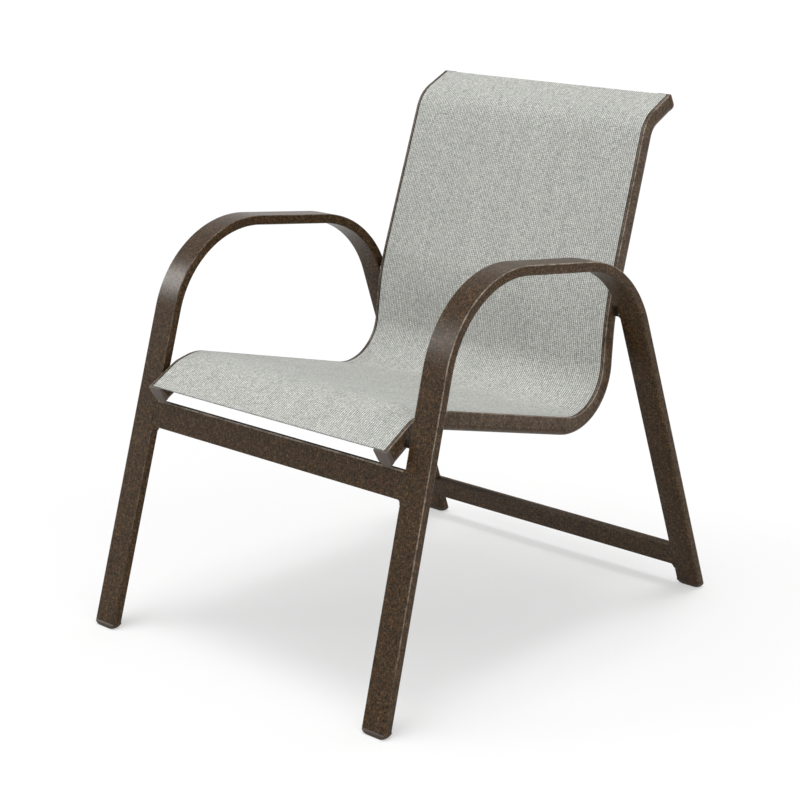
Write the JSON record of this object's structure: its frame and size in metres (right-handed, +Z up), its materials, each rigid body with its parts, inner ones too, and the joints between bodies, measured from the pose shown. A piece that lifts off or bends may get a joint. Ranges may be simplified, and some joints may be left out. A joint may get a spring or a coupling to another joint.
{
  "type": "sling patio chair",
  "caption": "Outdoor armchair: bent flat-tube side frames carry two curved rails that stretch a woven mesh sling as seat and back, with welded cross rails and plastic feet.",
  "frame": {"origin": "centre of the footprint, on the floor", "axes": "+Z up, the chair faces -Y, +X towards the sitter's left armrest"},
  "size_m": [0.647, 0.811, 0.8384],
  "materials": {
    "frame_bronze": "semi-gloss mottled powder coat",
    "sling_mesh": "matte open basket weave",
    "dark_plastic": "matte",
    "cap_plastic": "matte",
    "spline_plastic": "matte",
    "plain_steel": "satin"
  },
  "bodies": {
    "root": {"left_side_frame": "frame_bronze", "left_sling_rail": "frame_bronze", "left_sling_spline": "spline_plastic", "left_front_rail_bolt": "plain_steel", "left_front_spacer": "dark_plastic", "left_front_insert": "plain_steel", "left_front_glide": "cap_plastic", "left_rear_rail_bolt": "plain_steel", "left_rear_spacer": "dark_plastic", "left_rear_insert": "plain_steel", "left_rear_glide": "cap_plastic", "left_seat_front_spreader_plug": "dark_plastic", "left_seat_rear_spreader_plug": "dark_plastic", "left_back_spreader_plug": "dark_plastic", "left_front_rail_cap": "cap_plastic", "left_top_rail_cap": "cap_plastic", "right_side_frame": "frame_bronze", "right_sling_rail": "frame_bronze", "right_sling_spline": "spline_plastic", "right_front_rail_bolt": "plain_steel", "right_front_spacer": "dark_plastic", "right_front_insert": "plain_steel", "right_front_glide": "cap_plastic", "right_rear_rail_bolt": "plain_steel", "right_rear_spacer": "dark_plastic", "right_rear_insert": "plain_steel", "right_rear_glide": "cap_plastic", "right_seat_front_spreader_plug": "dark_plastic", "right_seat_rear_spreader_plug": "dark_plastic", "right_back_spreader_plug": "dark_plastic", "right_front_rail_cap": "cap_plastic", "right_top_rail_cap": "cap_plastic", "front_cross_rail": "frame_bronze", "rear_cross_rail": "frame_bronze", "seat_front_spreader": "frame_bronze", "seat_rear_spreader": "frame_bronze", "back_spreader": "frame_bronze", "sling": "sling_mesh"}
  },
  "joints": []
}
